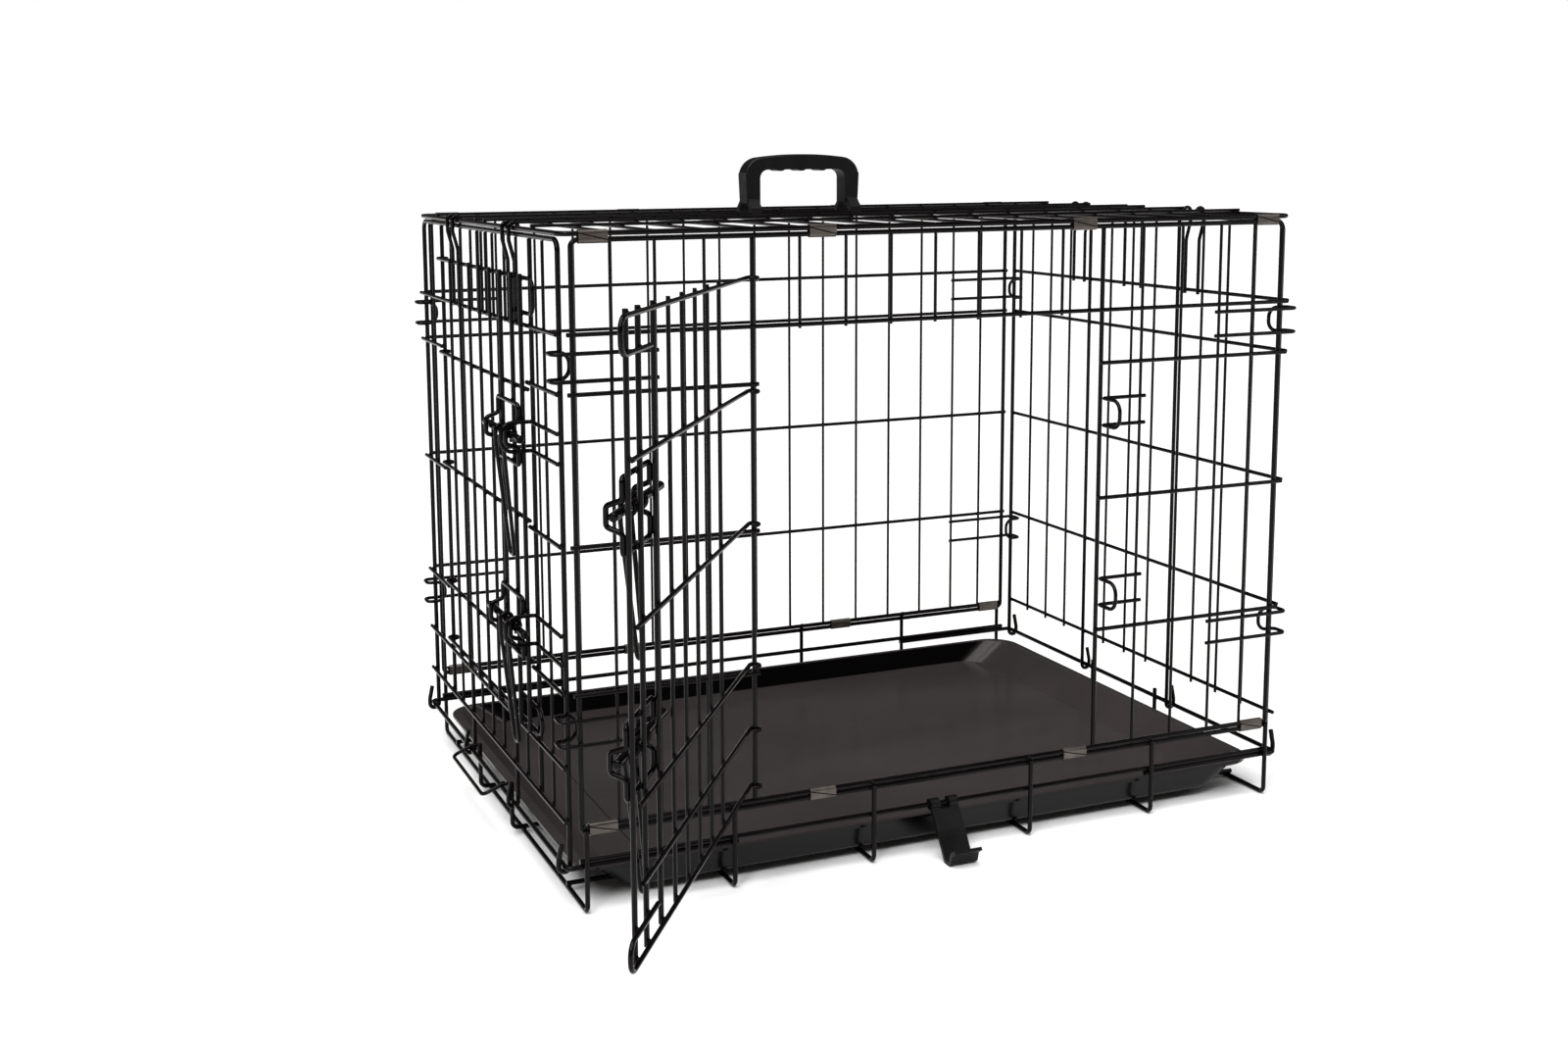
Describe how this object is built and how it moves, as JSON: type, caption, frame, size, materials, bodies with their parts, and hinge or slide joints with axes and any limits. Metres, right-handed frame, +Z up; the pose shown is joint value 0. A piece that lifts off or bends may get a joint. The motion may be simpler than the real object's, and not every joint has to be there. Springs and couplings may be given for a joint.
{
  "type": "folding wire dog crate",
  "caption": "Folding wire crate for a small dog, with a long-side door, an end door, sliding bolt latches, a lift-out tray and a carry handle.",
  "frame": {"origin": "centre of the base on the floor, midway between the end panels and between the long panels", "axes": "+Z up; +X along the long side, away from the end door; -Y out through the long-side door"},
  "size_m": [0.664, 0.6781, 0.532],
  "materials": {
    "coated_wire": "gloss black electro-coat",
    "latch_wire": "gloss black electro-coat, thicker on the latches",
    "clip_sheet": "bronze-brown coated sheet",
    "tray_plastic": "semi-gloss black polypropylene",
    "handle_plastic": "satin black moulding"
  },
  "bodies": {
    "crate": {"base_frame": "coated_wire", "front_panel": "coated_wire", "back_panel": "coated_wire", "roof_panel": "coated_wire", "base_hinge_clips": "clip_sheet", "roof_hinge_clips": "clip_sheet", "corner_catches": "coated_wire", "front_keepers": "coated_wire", "carry_handle": "handle_plastic"},
    "tray": {"tray": "tray_plastic"},
    "tray_latch": {"tray_latch": "coated_wire"},
    "strap_clip": {"strap_clip": "handle_plastic"},
    "left_end": {"left_end_panel": "coated_wire", "left_top_hooks": "coated_wire", "end_keepers": "coated_wire"},
    "right_end": {"right_end_panel": "coated_wire", "right_top_hooks": "coated_wire"},
    "front_door": {"front_door": "coated_wire", "front_latch_brackets": "latch_wire"},
    "end_door": {"end_door": "coated_wire", "end_latch_brackets": "latch_wire"},
    "front_upper_bolt": {"front_upper_bolt": "latch_wire"},
    "front_upper_paddle": {"front_upper_paddle": "latch_wire"},
    "front_lower_bolt": {"front_lower_bolt": "latch_wire"},
    "front_lower_paddle": {"front_lower_paddle": "latch_wire"},
    "end_upper_bolt": {"end_upper_bolt": "latch_wire"},
    "end_upper_paddle": {"end_upper_paddle": "latch_wire"},
    "end_lower_bolt": {"end_lower_bolt": "latch_wire"},
    "end_lower_paddle": {"end_lower_paddle": "latch_wire"}
  },
  "joints": [
    {"name": "tray_lift", "type": "slide", "parent": "crate", "child": "tray", "axis": [0, 0, 1], "range_m": [0, 0.032]},
    {"name": "tray_latch_flip", "type": "hinge", "parent": "crate", "child": "tray_latch", "pos_m": [-0.3082, 0.01, 0.0339], "axis": [0, 1, 0], "range_deg": [0, 90]},
    {"name": "strap_swing", "type": "hinge", "parent": "crate", "child": "strap_clip", "pos_m": [-0.00775, -0.21128, 0.03775], "axis": [-1, 0, 0], "range_deg": [0, 110]},
    {"name": "left_end_fold", "type": "hinge", "parent": "crate", "child": "left_end", "pos_m": [-0.3082, 0, 0.0339], "axis": [0, -1, 0], "range_deg": [-75, 0]},
    {"name": "right_end_fold", "type": "hinge", "parent": "crate", "child": "right_end", "pos_m": [0.3082, 0, 0.0339], "axis": [0, 1, 0], "range_deg": [-50, 0]},
    {"name": "front_door_swing", "type": "hinge", "parent": "crate", "child": "front_door", "pos_m": [-0.16425, -0.21143, 0.26], "axis": [0, 0, -1], "range_deg": [-125.6, 39]},
    {"name": "end_door_swing", "type": "hinge", "parent": "left_end", "child": "end_door", "pos_m": [-0.30415, 0.136, 0.28], "axis": [0, 0, -1], "range_deg": [0, 110]},
    {"name": "front_upper_bolt_slide", "type": "slide", "parent": "front_door", "child": "front_upper_bolt", "axis": [-0.5821, -0.8131, 0], "range_m": [0, 0.02]},
    {"name": "front_upper_paddle_lift", "type": "hinge", "parent": "front_upper_bolt", "child": "front_upper_paddle", "pos_m": [-0.31644, -0.39764, 0.333], "axis": [0.5821, 0.8131, 0], "range_deg": [0, 85]},
    {"name": "end_upper_bolt_slide", "type": "slide", "parent": "end_door", "child": "end_upper_bolt", "axis": [0, 1, 0], "range_m": [0, 0.02]},
    {"name": "end_upper_paddle_lift", "type": "hinge", "parent": "end_upper_bolt", "child": "end_upper_paddle", "pos_m": [-0.3195, -0.1, 0.333], "axis": [0, 1, 0], "range_deg": [0, 85]},
    {"name": "front_lower_bolt_slide", "type": "slide", "parent": "front_door", "child": "front_lower_bolt", "axis": [-0.5821, -0.8131, 0], "range_m": [0, 0.02]},
    {"name": "front_lower_paddle_lift", "type": "hinge", "parent": "front_lower_bolt", "child": "front_lower_paddle", "pos_m": [-0.31644, -0.39764, 0.1905], "axis": [0.5821, 0.8131, 0], "range_deg": [0, 85]},
    {"name": "end_lower_bolt_slide", "type": "slide", "parent": "end_door", "child": "end_lower_bolt", "axis": [0, 1, 0], "range_m": [0, 0.02]},
    {"name": "end_lower_paddle_lift", "type": "hinge", "parent": "end_lower_bolt", "child": "end_lower_paddle", "pos_m": [-0.3195, -0.1, 0.1905], "axis": [0, 1, 0], "range_deg": [0, 85]}
  ]
}
